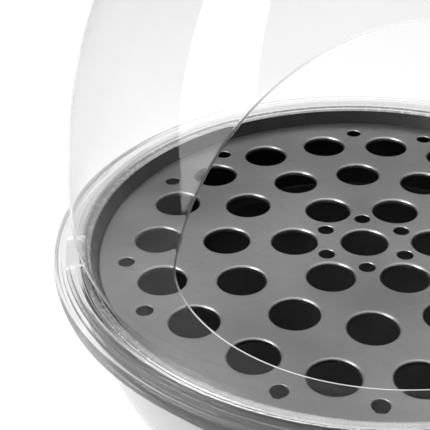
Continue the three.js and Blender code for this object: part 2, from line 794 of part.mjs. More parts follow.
function regulator() {
  const near = FRONT_FACE + GAP;
  const body = slab(DIAL_X, PANEL_MID, { x: 15, z: 15 }, near, near + 14);
  return body.subtract(cylinderY(DIAL_X, PANEL_MID, near - REACH, near + 9, SPINDLE_RADIUS + 0.4));
}

// A board with a relay, a capacitor and a small transformer standing on it.
function controlBoard() {
  const front = FRONT_FACE + 20;
  const board = slab(0, PANEL_MID, { x: 40, z: 16 }, front, front + 1.6);
  const root = front + 1.2;
  const relay = slab(-22, PANEL_MID - 4, { x: 8, z: 8 }, root, front + 12);
  const capacitor = cylinderY(4, PANEL_MID + 2, root, front + 13, 5, SMALL_ROUND);
  const transformer = slab(25, PANEL_MID - 2, { x: 9, z: 8 }, root, front + 9);
  return board.add(relay).add(capacitor).add(transformer);
}

// ---- the mains inlet at the back -----------------------------------------------------------
function inletHousing() {
  const halfX = 30;
  const halfZ = 24;
  const body = roundedBox(
    -halfX, halfX, HOUSING_ROOT, BACK_FACE, INLET_Z - halfZ, INLET_Z + halfZ, 8,
  );
  const pocket = slab(0, INLET_Z, SOCKET_HALF, HOUSING_ROOT, BACK_FACE + REACH, 0.4);
  return body.subtract(bowlSolid(GAP)).subtract(pocket);
}

// A three-pin inlet: the mouth's two cut corners are on the earth pin's side, at the top.
function inletSocket() {
  const mouthHalf = { x: 12.4, z: 8.6 };
  const cutCorner = { x: 3.8, z: 4 };
  const flange = slab(0, INLET_Z, { x: 25, z: 16 }, BACK_FACE + GAP, BACK_FACE + 3);
  const body = slab(0, INLET_Z, SOCKET_HALF, BACK_FACE - 24, BACK_FACE + 1);
  // The outline lies in X-Y; turning it about X sends its +Y down and its +Z to the back.
  const mouth = prism([
    [-mouthHalf.x, mouthHalf.z],
    [-mouthHalf.x, -mouthHalf.z + cutCorner.z],
    [-mouthHalf.x + cutCorner.x, -mouthHalf.z],
    [mouthHalf.x - cutCorner.x, -mouthHalf.z],
    [mouthHalf.x, -mouthHalf.z + cutCorner.z],
    [mouthHalf.x, mouthHalf.z],
  ], BACK_FACE - 19, BACK_FACE + REACH);
  let socket = flange.add(body).subtract(mouth.rotate([-90, 0, 0]).translate([0, 0, INLET_Z]));
  pinSpots().forEach(([x, z]) => {
    socket = socket.subtract(slab(x, z, PIN_HALF, BACK_FACE - 30, BACK_FACE, 0.4));
  });
  return socket;
}

function pinSpots() {
  return [[-7, INLET_Z - 2], [7, INLET_Z - 2], [0, INLET_Z + 2.6]];
}

function inletPin(i) {
  const [x, z] = pinSpots()[i];
  return slab(x, z, PIN_HALF, BACK_FACE - 28, BACK_FACE - 7);
}

// ---- assembly ------------------------------------------------------------------------------
piece("dome", dome(), CLEAR);
piece("dome_knob", domeKnob(), WHITE);
piece("dome_knob_washer", knobWasher(), RUBBER);
piece("dome_screw_washer", screwWasher(), RUBBER);
piece("dome_knob_screw", knobScrew(), STEEL);

piece("rim_ring", rimRing(), CLEAR);
piece("key_block_left", keyArc(0), CLEAR);
piece("key_block_right", keyArc(1), CLEAR);
piece("drip_lip", dripLip(), CLEAR);
piece("trim_band", trimBand(), DARK_TRIM);
piece("pan_seal", panSeal(), RUBBER);

piece("heating_pan", heatingPan(), COATED);
piece("egg_tray", eggTray(), BRUSHED);

piece("base_shell", baseShell(), WHITE);
piece("bottom_cover", bottomCover(), BLACK);
for (let i = 0; i < 4; i++) piece(`foot_${i + 1}`, foot(i), RUBBER);
for (let i = 0; i < 4; i++) piece(`cover_screw_${i + 1}`, coverScrew(i), STEEL);

piece("heat_plate", heatPlate(), ALUMINIUM);
piece("heating_element", heatingElement(), STEEL);
piece("element_terminal_left", terminalTab(0), BRASS);
piece("element_terminal_right", terminalTab(1), BRASS);
piece("heat_shield", heatShield(), ALUMINIUM);
for (let i = 0; i < 3; i++) piece(`plate_spacer_${i + 1}`, plateSpacer(i), STEEL);
for (let i = 0; i < 3; i++) piece(`shield_post_${i + 1}`, shieldPost(i), STEEL);
piece("thermostat", thermostatDisc(), BLACK);
piece("thermal_fuse", thermalFuse(), WHITE);
piece("fuse_clip", fuseClip(), STEEL);
piece("terminal_block", terminalBlock(), WHITE);

piece("control_housing", controlHousing(), WHITE);
piece("control_fascia", fascia(), DARK_TRIM);
piece("pilot_lens", pilotLens(), AMBER);
piece("switch_frame", switchFrame(), BLACK);
piece("switch_rocker", switchRocker(), BLACK);
piece("temperature_dial", dial(), WHITE);
piece("dial_spindle", dialSpindle(), STEEL);
piece("regulator", regulator(), BLACK);
piece("control_board", controlBoard(), BOARD);

piece("inlet_housing", inletHousing(), WHITE);
piece("inlet_socket", inletSocket(), BLACK);
["neutral", "live", "earth"].forEach((n, i) => piece(`inlet_pin_${n}`, inletPin(i), BRASS));

export default root;
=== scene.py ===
import json
import math

import bmesh
import bpy
from mathutils import Matrix, Vector


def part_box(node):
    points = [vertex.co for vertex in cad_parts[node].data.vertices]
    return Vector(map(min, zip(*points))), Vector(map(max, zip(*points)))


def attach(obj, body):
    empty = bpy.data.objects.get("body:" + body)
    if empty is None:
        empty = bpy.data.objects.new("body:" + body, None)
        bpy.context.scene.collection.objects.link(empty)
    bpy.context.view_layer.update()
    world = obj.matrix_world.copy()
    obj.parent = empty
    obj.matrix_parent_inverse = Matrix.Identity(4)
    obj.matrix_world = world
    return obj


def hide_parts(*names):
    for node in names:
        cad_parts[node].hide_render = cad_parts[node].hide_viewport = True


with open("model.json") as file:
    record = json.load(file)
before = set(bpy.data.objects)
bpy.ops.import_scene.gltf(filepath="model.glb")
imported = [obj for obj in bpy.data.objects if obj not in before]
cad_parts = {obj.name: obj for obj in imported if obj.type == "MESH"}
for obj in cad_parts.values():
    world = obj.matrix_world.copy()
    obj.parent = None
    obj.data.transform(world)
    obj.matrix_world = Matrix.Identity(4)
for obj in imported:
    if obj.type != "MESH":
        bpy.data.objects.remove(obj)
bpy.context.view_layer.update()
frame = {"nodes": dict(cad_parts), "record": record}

# ---- driving sizes: millimetres above the tray's top face, and radii from the dome's axis ---------
MM = 0.001
TRAY_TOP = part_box("egg_tray")[1].z

WALL = 1.2  # the dome's wall
WIDE = 221.4  # the dome's largest radius, at the height MIDDLE
MIDDLE = 49.1
RISE = 298.0  # half height of the ellipse above MIDDLE
DROP = 111.4  # half height of the ellipse below it
NECK = 20.0  # from here down the wall is an upright neck
FOOT = 13.6  # underside of the flange round the neck
FOOT_THICK = 2.4
FOOT_RADIUS = 222.0
APEX_HOLE = 4.2
APEX = MIDDLE + RISE
CUT_PLANE = 167.2  # the front opening's upright cut, in front of the axis
CUT_DEPTH = 100.0  # below CUT_MIDDLE the cut bends forward along a quarter ellipse
CUT_RISE = 63.4
CUT_FLOOR = 38.0  # the ellipse's lowest point
CUT_MIDDLE = CUT_FLOOR + CUT_RISE

KEY_FROM = 79.5  # the locating blocks, in degrees round from the middle of the front
KEY_TO = 89.5
KEY_INNER = 214.7
KEY_OUTER = 228.0

RIM_TOP = 13.3
RIM_BOTTOM = 2.0
RIM_RADIUS = 238.0
BAND_RADIUS = 219.3
BAND_BOTTOM = -20.0
GAP = 0.3

BOWL_RADIUS = 217.7
BOWL_DEPTH = 207.9
BOWL_WALL = 3.2
BOWL_TOP = BAND_BOTTOM - GAP
BOWL_BOTTOM = -150.0
COVER_RADIUS = 146.8
COVER_TOP = -144.3
COVER_THICK = 3.2
LEDGE_RADIUS = 132.0
SCREW_RING = 139.5
FOOT_RING = 120.0

PAN_FLOOR = -65.0
PAN_WALL = 1.2
BARE_LIP = 10.3  # above this the pan's rolled edge is uncoated

SHEET = 1.5
TRAY_RADIUS = 204.8
TRAY_TURN = -5.2  # the loose tray lies turned a little in the pan, degrees
SEAT_RADIUS = 18.0
STEAM_RADIUS = 6.2

FRONT_FACE = -218.0
PANEL_HALF = 64.0
PANEL_LOW = -114.0
PANEL_HIGH = -50.0
PANEL_MID = (PANEL_LOW + PANEL_HIGH) / 2
FASCIA_THICK = 2.0
FASCIA_FRONT = FRONT_FACE - GAP - FASCIA_THICK
DIAL_X = -34.0
SWITCH_X = 34.0
LAMP_HEIGHT = PANEL_MID + 14
BACK_FACE = 216.0
INLET_HEIGHT = -92.0

SEGMENTS = 192
SHARP = 38  # edges that turn by more degrees than this stay crisp
FRONT = -90.0  # azimuth of the opening, degrees


def metres(x, y, z):
    """A point given in millimetres, its height above the tray."""
    return Vector((x * MM, y * MM, TRAY_TOP + z * MM))


def polar(radius, degrees):
    a = math.radians(degrees)
    return (radius * math.cos(a), radius * math.sin(a))


# ---- outlines -------------------------------------------------------------------------------------
def rounded(points, radius, steps=4, closed=True):
    """The outline with each corner turned into a small curve, no longer than its sides allow."""
    result = []
    count = len(points)
    for i, point in enumerate(points):
        here = Vector(point)
        ends = not closed and i in (0, count - 1)
        if ends or abs(here.x) < 1e-6:
            result.append(tuple(here))
            continue
        before = Vector(points[i - 1]) - here
        after = Vector(points[(i + 1) % count]) - here
        half = before.angle(after) / 2
        if half > math.radians(88):
            result.append(tuple(here))
            continue
        reach = min(radius / math.tan(half), 0.45 * before.length, 0.45 * after.length)
        start = here + before.normalized() * reach
        end = here + after.normalized() * reach
        for k in range(steps + 1):
            t = k / steps
            result.append(tuple((1 - t) ** 2 * start + 2 * t * (1 - t) * here + t * t * end))
    return result


def rounded_rectangle(half_x, half_y, corner, steps=8):
    """Points round a rectangle with round corners, anticlockwise."""
    points = []
    for k, (sx, sy) in enumerate([(1, 1), (-1, 1), (-1, -1), (1, -1)]):
        for i in range(steps + 1):
            dx, dy = polar(corner, 90 * (k + i / steps))
            points.append((sx * (half_x - corner) + dx, sy * (half_y - corner) + dy))
    return points


def circle(x, y, radius, count, start=0.0):
    """Points round a circle, clockwise, as a hole in a plate runs."""
    points = (polar(radius, start - 360 * i / count) for i in range(count))
    return [(x + px, y + py) for px, py in points]


# ---- mesh helpers ---------------------------------------------------------------------------------
def add_object(name, data):
    """An object for a mesh, a light or a camera, put into the scene."""
    thing = bpy.data.objects.new(name, data)
    bpy.context.scene.collection.objects.link(thing)
    return thing


def make_piece(name, shell, material, body, replaces=(), level=True):
    """Turns a bmesh into a piece that rides on a body and stands for CAD nodes.

    The material is one, or a list in the order of the faces' material numbers.
    """
    bmesh.ops.recalc_face_normals(shell, faces=shell.faces)
    mesh = bpy.data.meshes.new(name)
    shell.to_mesh(mesh)
    shell.free()
    mesh.shade_smooth()
    mesh.set_sharp_from_angle(angle=math.radians(SHARP))
    for one in material if isinstance(material, list) else [material]:
        mesh.materials.append(one)
    piece = add_object(name, mesh)
    if level:
        weighted = piece.modifiers.new("even_normals", "WEIGHTED_NORMAL")
        weighted.keep_sharp = True
    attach(piece, body)
    if replaces:
        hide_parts(*replaces)


class Shell:
    """A bmesh whose coinciding points are one vertex."""

    def __init__(self):
        self.mesh = bmesh.new()
        self.known = {}

    def vertex(self, point):
        key = tuple(round(c, 7) for c in point)
        if key not in self.known:
            self.known[key] = self.mesh.verts.new(point)
        return self.known[key]

    def face(self, corners):
        unique = list(dict.fromkeys(corners))
        if len(unique) < 3:
            return None
        try:
            return self.mesh.faces.new(unique)
        except ValueError:  # the face is there already
            return None

    def strip(self, one, two):
        """Joins two runs of vertices."""
        for k in range(len(one) - 1):
            self.face([one[k], two[k], two[k + 1], one[k + 1]])

    def skin(self, columns, around=True, caps=False):
        """Joins neighbouring closed outlines."""
        rings = [[self.vertex(p) for p in column] for column in columns]
        following = rings[1:] + rings[:1] if around else rings[1:]
        for one, two in zip(rings, following):
            for k in range(len(one)):
                self.face([one[k - 1], two[k - 1], two[k], one[k]])
        if caps:
            self.face(rings[0])
            self.face(rings[-1])


def turned(outline, segments=SEGMENTS, arc=None, place=None):
    """A body of revolution.  The outline, or a function of the azimuth, gives [radius, height] in mm."""
    shell = Shell()
    first, last = arc if arc else (0.0, 360.0)
    count = segments + 1 if arc else segments
    columns = []
    for i in range(count):
        azimuth = first + (last - first) * i / segments
        points = outline(azimuth) if callable(outline) else outline
        column = []
        for radius, height in points:
            x, y = polar(radius, azimuth)
            column.append(place @ Vector((x, y, height)) if place else Vector((x, y, height)))
        columns.append([metres(*p) for p in column])
    shell.skin(columns, around=arc is None, caps=arc is not None)
    return shell.mesh


def plate(loops, place=None, shell=None):
    """A sheet with holes.

    Each loop is [points, path]: the points run anticlockwise round the outside and clockwise round a hole,
    and the path's [offset into the sheet, height] pairs lead from its top to its underside.
    """
    shell = shell or Shell()
    tops = []
    bottoms = []
    for points, path in loops:
        count = len(points)
        rings = []
        for offset, height in path:
            ring = []
            for i in range(count):
                here = Vector(points[i])
                back = (here - Vector(points[i - 1])).normalized()
                ahead = (Vector(points[(i + 1) % count]) - here).normalized()
                along = (back + ahead).normalized()
                inward = Vector((-along.y, along.x)) / max(0.3, back.dot(along))
                moved = here + inward * offset
                local = Vector((moved.x, moved.y, height))
                ring.append(shell.vertex(metres(*(place @ local if place else local))))
            rings.append(ring)
        for one, two in zip(rings, rings[1:]):
            for i in range(count):
                shell.face([one[i - 1], one[i], two[i], two[i - 1]])
        tops.append(rings[0])
        bottoms.append(rings[-1])
    for rings in (tops, bottoms):
        edges = []
        for ring in rings:
            for i in range(len(ring)):
                pair = (ring[i - 1], ring[i])
                edges.append(shell.mesh.edges.get(pair) or shell.mesh.edges.new(pair))
        bmesh.ops.triangle_fill(shell.mesh, edges=edges, use_beauty=True)
    return shell


def edge_path(low, high, radius, steps=4):
    """A path down the side of a plate with both its edges rounded."""
    upper = [
        (radius * (1 - math.sin(math.radians(90 * k / steps))),
         high - radius * (1 - math.cos(math.radians(90 * k / steps))))
        for k in range(steps + 1)
    ]
    lower = [(offset, low + high - height) for offset, height in reversed(upper)]
    return upper + lower


FACING_FRONT = Matrix.Rotation(math.radians(90), 4, "X")  # a plate's top then faces -Y
FACING_BACK = Matrix.Rotation(math.radians(180), 4, "Z") @ FACING_FRONT


def moved(x, y, z, turn=None):
    shift = Matrix.Translation((x, y, z))
    return shift @ turn if turn else shift


# ---- materials ------------------------------------------------------------------------------------
def fill_ramp(ramp, stops):
    """Sets a colour ramp to grey levels at its positions."""
    while len(ramp.color_ramp.elements) < len(stops):
        ramp.color_ramp.elements.new(0.5)
    for element, (position, level) in zip(ramp.color_ramp.elements, stops):
        element.position = position
        element.color = (level, level, level, 1)


class Paint:
    """A procedural material: one Principled shader with noise on its colour, gloss and relief."""

    def __init__(self, name, colour, roughness, metallic=0.0):
        self.material = bpy.data.materials.new(name)
        self.material.use_nodes = True
        self.tree = self.material.node_tree
        self.shader = self.tree.nodes["Principled BSDF"]
        self.shader.inputs["Base Color"].default_value = (*colour, 1)
        self.shader.inputs["Roughness"].default_value = roughness
        self.shader.inputs["Metallic"].default_value = metallic
        self.colour = colour
        self.roughness = roughness
        self.place = self.tree.nodes.new("ShaderNodeTexCoord").outputs["Object"]

    def set(self, **values):
        for key, value in values.items():
            self.shader.inputs[key.replace("_", " ")].default_value = value

    def noise(self, scale, stretch=(1, 1, 1), detail=3.0):
        mapping = self.tree.nodes.new("ShaderNodeMapping")
        mapping.inputs["Scale"].default_value = stretch
        self.tree.links.new(self.place, mapping.inputs["Vector"])
        texture = self.tree.nodes.new("ShaderNodeTexNoise")
        texture.inputs["Scale"].default_value = scale
        texture.inputs["Detail"].default_value = detail
        self.tree.links.new(mapping.outputs["Vector"], texture.inputs["Vector"])
        return texture.outputs["Fac"]

    def spread(self, source, low, high):
        """Maps the middle of a noise to the values from low to high."""
        stage = self.tree.nodes.new("ShaderNodeMapRange")
        stage.inputs["From Min"].default_value = 0.3
        stage.inputs["From Max"].default_value = 0.7
        stage.inputs["To Min"].default_value = low
        stage.inputs["To Max"].default_value = high
        self.tree.links.new(source, stage.inputs["Value"])
        return stage.outputs["Result"]

    def tint(self, source, change):
        """Colour that wanders by a share of itself."""
        mix = self.tree.nodes.new("ShaderNodeMix")
        mix.data_type = "RGBA"
        mix.inputs["A"].default_value = (*[c * (1 - change) for c in self.colour], 1)
        mix.inputs["B"].default_value = (*[min(1.0, c * (1 + change)) for c in self.colour], 1)
        self.tree.links.new(self.spread(source, 0, 1), mix.inputs["Factor"])
        self.tree.links.new(mix.outputs["Result"], self.shader.inputs["Base Color"])

    def gloss(self, source, change):
        """Roughness that wanders by an amount to either side."""
        low = max(0.0, self.roughness - change)
        wander = self.spread(source, low, self.roughness + change)
        self.tree.links.new(wander, self.shader.inputs["Roughness"])

    def relief(self, source, depth_mm, strength=1.0):
        bump = self.tree.nodes.new("ShaderNodeBump")
        bump.inputs["Strength"].default_value = strength
        bump.inputs["Distance"].default_value = depth_mm * MM
        self.tree.links.new(source, bump.inputs["Height"])
        self.tree.links.new(bump.outputs["Normal"], self.shader.inputs["Normal"])
        return self

    def absorb(self, per_metre):
        """Grey absorption inside a clear body, so that its thick edges darken."""
        inside = self.tree.nodes.new("ShaderNodeVolumeAbsorption")
        inside.inputs["Color"].default_value = (0, 0, 0, 1)
        inside.inputs["Density"].default_value = per_metre
        self.tree.links.new(inside.outputs["Volume"], self.tree.nodes["Material Output"].inputs["Volume"])

    def let_lamps_through(self, tint, body):
        """Shadow rays pass straight through.  With body under 1 the other rays do too, in part."""
        output = self.tree.nodes["Material Output"]
        open_share = self.tree.nodes.new("ShaderNodeBsdfTransparent")
        thinned = self.tree.nodes.new("ShaderNodeMixShader")
        thinned.inputs["Fac"].default_value = body
        self.tree.links.new(open_share.outputs["BSDF"], thinned.inputs[1])
        self.tree.links.new(self.shader.outputs["BSDF"], thinned.inputs[2])
        clear = self.tree.nodes.new("ShaderNodeBsdfTransparent")
        clear.inputs["Color"].default_value = (tint, tint, tint, 1)
        path = self.tree.nodes.new("ShaderNodeLightPath")
        mix = self.tree.nodes.new("ShaderNodeMixShader")
        self.tree.links.new(path.outputs["Is Shadow Ray"], mix.inputs["Fac"])
        self.tree.links.new(thinned.outputs["Shader"], mix.inputs[1])
        self.tree.links.new(clear.outputs["BSDF"], mix.inputs[2])
        self.tree.links.new(mix.outputs["Shader"], output.inputs["Surface"])
        return self


def clear_acrylic(name, roughness, ripple_mm, per_metre, bending, mirror=0.0, body=1.0, clarity=1.0):
    """Clear plastic: bending is its refractive index, and mirror the weight of its reflecting coat.

    With body under 1 part of the light passes unbent, and with clarity under 1 the plastic is milky.
    The values follow the photograph's look; real acrylic bends and reflects more.
    """
    paint = Paint(name, (0.97, 0.97, 0.97), roughness)
    paint.set(IOR=bending, Transmission_Weight=clarity)
    paint.set(Coat_Weight=mirror, Coat_IOR=2.0, Coat_Roughness=0.02)
    paint.gloss(paint.noise(60, detail=5), roughness * 0.6)
    paint.relief(paint.noise(9, detail=1), ripple_mm)
    paint.absorb(per_metre)
    return paint.let_lamps_through(0.96, body).material


def white_plastic():
    paint = Paint("white_gloss_plastic", (0.26, 0.26, 0.26), 0.16)
    paint.set(Coat_Weight=0.3, Coat_Roughness=0.05)
    paint.tint(paint.noise(14), 0.015)
    paint.gloss(paint.noise(35, detail=5), 0.05)
    return paint.relief(paint.noise(420, detail=2), 0.02, 0.35).material


def trim_plastic():
    paint = Paint("dark_trim_plastic", (0.045, 0.045, 0.047), 0.34)
    paint.tint(paint.noise(30), 0.08)
    paint.gloss(paint.noise(80, detail=5), 0.08)
    return paint.relief(paint.noise(900, detail=3), 0.03, 0.5).material


def brushed_sheet():
    """Long fine scratches along X, with slow clouds of lighter and darker steel."""
    paint = Paint("brushed_tray_steel", (0.31, 0.31, 0.315), 0.34, metallic=1.0)
    paint.set(Anisotropic=0.3)
    paint.tint(paint.noise(6, detail=4), 0.28)
    paint.gloss(paint.noise(1500, stretch=(0.05, 1, 1), detail=3), 0.07)
    return paint.relief(paint.noise(2600, stretch=(0.04, 1, 1), detail=2), 0.006, 0.25).material


def pan_coating():
    paint = Paint("dark_pan_coating", (0.008, 0.008, 0.008), 0.42)
    paint.set(Specular_IOR_Level=0.25)
    paint.tint(paint.noise(60), 0.25)
    paint.gloss(paint.noise(150, detail=6), 0.1)
    return paint.relief(paint.noise(1400, detail=3), 0.02, 0.5).material


def rubber():
    paint = Paint("black_rubber", (0.03, 0.03, 0.03), 0.78)
    paint.tint(paint.noise(90), 0.25)
    paint.gloss(paint.noise(60), 0.08)
    return paint.relief(paint.noise(1500), 0.06, 0.7).material


def metal(name, colour, roughness, scratch=(1, 1, 0.05)):
    paint = Paint(name, colour, roughness, metallic=1.0)
    paint.tint(paint.noise(45), 0.07)
    paint.gloss(paint.noise(200, stretch=scratch, detail=5), 0.1)
    return paint.relief(paint.noise(1100, stretch=scratch), 0.015, 0.4).material


def moulded(name, colour, roughness, grain=1000, depth=0.04):
    paint = Paint(name, colour, roughness)
    paint.tint(paint.noise(50), 0.12)
    paint.gloss(paint.noise(110, detail=5), 0.08)
    return paint.relief(paint.noise(grain, detail=3), depth, 0.5).material


def amber():
    paint = Paint("amber_lens", (0.8, 0.36, 0.05), 0.1)
    paint.set(IOR=1.49, Transmission_Weight=0.6)
    paint.tint(paint.noise(300), 0.15)
    paint.gloss(paint.noise(200), 0.05)
    return paint.relief(paint.noise(700), 0.03, 0.4).material


def cut_edge_painted_light_and_shade():
    """The opening's edge, with painted light and shade by height: pale at the foot, then dark, then pale."""
    paint = Paint("polished_cut_edge_painted_light_and_shade", (0.7, 0.7, 0.7), 0.14)
    split = paint.tree.nodes.new("ShaderNodeSeparateXYZ")
    ramp = paint.tree.nodes.new("ShaderNodeValToRGB")
    height = paint.tree.nodes.new("ShaderNodeMapRange")
    painted = 200  # the height over which the painted light and shade change
    height.inputs["From Min"].default_value = TRAY_TOP + CUT_FLOOR * MM
    height.inputs["From Max"].default_value = TRAY_TOP + (CUT_FLOOR + painted) * MM
    # Painted light and shade in the base colour: pale at the foot, dark higher up, pale again near the top.
    fill_ramp(ramp, [(0.0, 0.6), (0.14, 0.5), (0.28, 0.03), (0.74, 0.04), (0.84, 0.45), (1.0, 0.7)])
    paint.tree.links.new(paint.place, split.inputs["Vector"])
    paint.tree.links.new(split.outputs["Z"], height.inputs["Value"])
    paint.tree.links.new(height.outputs["Result"], ramp.inputs["Fac"])
    paint.tree.links.new(ramp.outputs["Color"], paint.shader.inputs["Base Color"])
    paint.gloss(paint.noise(110, detail=5), 0.08)
    return paint.relief(paint.noise(400), 0.01, 0.5).material


DOME_CLEAR = clear_acrylic("clear_dome_acrylic", roughness=0.01, ripple_mm=0.08, per_metre=30.0,
                           bending=1.03, mirror=0.1)
RIM_CLEAR = clear_acrylic("clear_rim_acrylic", roughness=0.05, ripple_mm=0.03, per_metre=5.0,
                          bending=1.25, body=0.65)
# The material of the opening's cut faces, with painted light and shade by height.
CUT_EDGE_PAINTED_LIGHT_AND_SHADE = cut_edge_painted_light_and_shade()
FROSTED = clear_acrylic("frosted_cut_face", roughness=0.5, ripple_mm=0.03, per_metre=4.0,
                        bending=1.2, clarity=0.15)
WHITE = white_plastic()
TRIM = trim_plastic()
SHEET_STEEL = brushed_sheet()
COATING = pan_coating()
RUBBER = rubber()
BRIGHT = metal("bright_steel", (0.72, 0.72, 0.73), 0.22)
ALUMINIUM = metal("bare_aluminium", (0.72, 0.72, 0.73), 0.42)
BLACK = moulded("black_plastic", (0.025, 0.025, 0.026), 0.42)
BRASS = metal("brass", (0.72, 0.52, 0.22), 0.28)
BOARD = moulded("circuit_board", (0.05, 0.16, 0.08), 0.4, grain=500)
CERAMIC = moulded("ceramic", (0.78, 0.76, 0.7), 0.6, grain=700)
INK = moulded("panel_marks", (0.75, 0.75, 0.75), 0.5)
AMBER = amber()


# ---- the dome -------------------------------------------------------------------------------------
def dome_radius(height, inset):
    semi = (RISE if height > MIDDLE else DROP) - inset
    return (WIDE - inset) * math.sqrt(max(0.0, 1 - ((height - MIDDLE) / semi) ** 2))


def cut_distance(height):
    """How far in front of the axis the opening's cut stands at a height."""
    if height >= CUT_MIDDLE:
        return CUT_PLANE
    share = min(1.0, (CUT_MIDDLE - height) / CUT_RISE)
    return CUT_PLANE + CUT_DEPTH * (1 - math.sqrt(1 - share * share))


def beyond_cut(height, angle, inset):
    return dome_radius(height, inset) * math.cos(angle) - cut_distance(height)


def opening_cosine(height, inset):
    """Cosine of the opening's half angle at a height."""
    return cut_distance(height) / dome_radius(height, inset)


def widest_height(inset):
    """The height at which the opening is widest, by narrowing an interval."""
    low, high = CUT_FLOOR + 20, CUT_MIDDLE + 20
    for _ in range(60):
        third = (high - low) / 3
        if opening_cosine(low + third, inset) > opening_cosine(high - third, inset):
            low += third
        else:
            high -= third
    return (low + high) / 2


def crossing(angle, inset, inside, outside):
    """The height between two others at which the dome's surface meets the cut."""
    for _ in range(50):
        middle = (inside + outside) / 2
        if beyond_cut(middle, angle, inset) > 0:
            inside = middle
        else:
            outside = middle
    return (inside + outside) / 2


def slope_angle(height, inset):
    semi = (RISE if height > MIDDLE else DROP) - inset
    return math.asin((height - MIDDLE) / semi)


def dome_rows(low, high, inset, steps):
    """Points up the dome's side from one height to another, evenly spaced in angle."""
    first = slope_angle(low, inset)
    last = slope_angle(high, inset)
    points = []
    for k in range(steps + 1):
        a = first + (last - first) * k / steps
        semi = (RISE if a > 0 else DROP) - inset
        points.append(((WIDE - inset) * math.cos(a), MIDDLE + semi * math.sin(a)))
    return points


def dome_column(angle, inset, span, widest, steps):
    """Lower and upper runs of points at one azimuth, parted by the opening where there is one."""
    if abs(angle) < span * 0.99999:
        low = crossing(angle, inset, widest, CUT_FLOOR)
        high = crossing(angle, inset, widest, APEX - inset)
    else:
        low = high = widest
    top = MIDDLE + (RISE - inset) * math.sqrt(1 - (APEX_HOLE / (WIDE - inset)) ** 2)
    return dome_rows(NECK, low, inset, steps[0]), dome_rows(high, top, inset, steps[1])


def make_dome():
    steps = (9, 44)  # rows below and above the opening
    across = 30  # columns to each side of the opening's middle
    behind = 140  # gaps between columns round the rest
    outer_widest = widest_height(0)
    inner_widest = widest_height(WALL)
    outer_span = math.acos(opening_cosine(outer_widest, 0))
    inner_span = math.acos(opening_cosine(inner_widest, WALL))
    margin = 0.15  # degrees left free beside a locating block
    sliver = 0.02
    apart = 0.5  # other columns keep this many degrees off the edges of the notches
    notch = [KEY_FROM - margin - sliver, KEY_FROM - margin, KEY_TO + margin, KEY_TO + margin + sliver]

    inside = [math.sin(math.radians(90 * k / across)) for k in range(-across, across + 1)]
    first = math.degrees(outer_span)
    rest = [first + (360 - 2 * first) * k / behind for k in range(1, behind)]
    kept = [a for a in rest if all(abs(a - n) > apart and abs(360 - a - n) > apart for n in notch)]
    outside = sorted(kept + notch + [360 - n for n in notch])

    angles = [(s * outer_span, s * inner_span, True) for s in inside]
    for degrees in outside:
        share = (degrees - first) / (360 - 2 * first)
        inner = inner_span + share * (2 * math.pi - 2 * inner_span)
        angles.append((math.radians(degrees), inner, False))

    shell = Shell()

    def place(points, angle):
        return [shell.vertex(metres(*polar(r, FRONT + math.degrees(angle)), z)) for r, z in points]

    neck_outer = dome_radius(NECK, 0)
    neck_inner = dome_radius(NECK, WALL)
    columns = []
    for outer, inner, opened in angles:
        degrees = math.degrees(outer)
        turned_to = min(degrees, 360 - degrees)
        notched = notch[1] - 1e-6 <= turned_to <= notch[2] + 1e-6
        flange = neck_outer + 0.5 if notched else FOOT_RADIUS
        foot = rounded([
            (neck_inner, NECK), (neck_inner, FOOT), (flange, FOOT), (flange, FOOT + FOOT_THICK),
            (neck_outer, FOOT + FOOT_THICK), (neck_outer, NECK),
        ], 0.6, 3, closed=False)[1:-1]
        outer_parts = dome_column(outer if opened else math.pi, 0, outer_span, outer_widest, steps)
        inner_parts = dome_column(inner if opened else math.pi, WALL, inner_span, inner_widest, steps)
        columns.append({
            "opened": opened,
            "foot": place(foot, outer),
            "outer": [place(part, outer) for part in outer_parts],
            "inner": [place(part, inner) for part in inner_parts],
        })

    lips = []
    for one, two in zip(columns, columns[1:] + columns[:1]):
        shell.strip([one["inner"][0][0]] + one["foot"] + [one["outer"][0][0]],
                    [two["inner"][0][0]] + two["foot"] + [two["outer"][0][0]])
        for side in ("outer", "inner"):
            for part in (0, 1):
                shell.strip(one[side][part], two[side][part])
        shell.face([one["outer"][1][-1], two["outer"][1][-1], two["inner"][1][-1], one["inner"][1][-1]])
        if one["opened"] and two["opened"]:
            for part, end in ((0, -1), (1, 0)):
                cut = shell.face([one["outer"][part][end], two["outer"][part][end],
                                  two["inner"][part][end], one["inner"][part][end]])
                if cut:
                    # the cut faces take the edge material with its painted light and shade
                    cut.material_index = 1
                for side in ("outer", "inner"):
                    lips.append((one[side][part][end], two[side][part][end]))

    lip_edges = [edge for edge in (shell.mesh.edges.get(pair) for pair in lips) if edge]
    bmesh.ops.recalc_face_normals(shell.mesh, faces=shell.mesh.faces)
    bmesh.ops.bevel(shell.mesh, geom=lip_edges, offset=0.3 * WALL * MM, segments=3, profile=0.5,
                    affect="EDGES", clamp_overlap=True)
    make_piece("dome_shell", shell.mesh, [DOME_CLEAR, CUT_EDGE_PAINTED_LIGHT_AND_SHADE], "dome_cover", ["dome"],
               level=False)


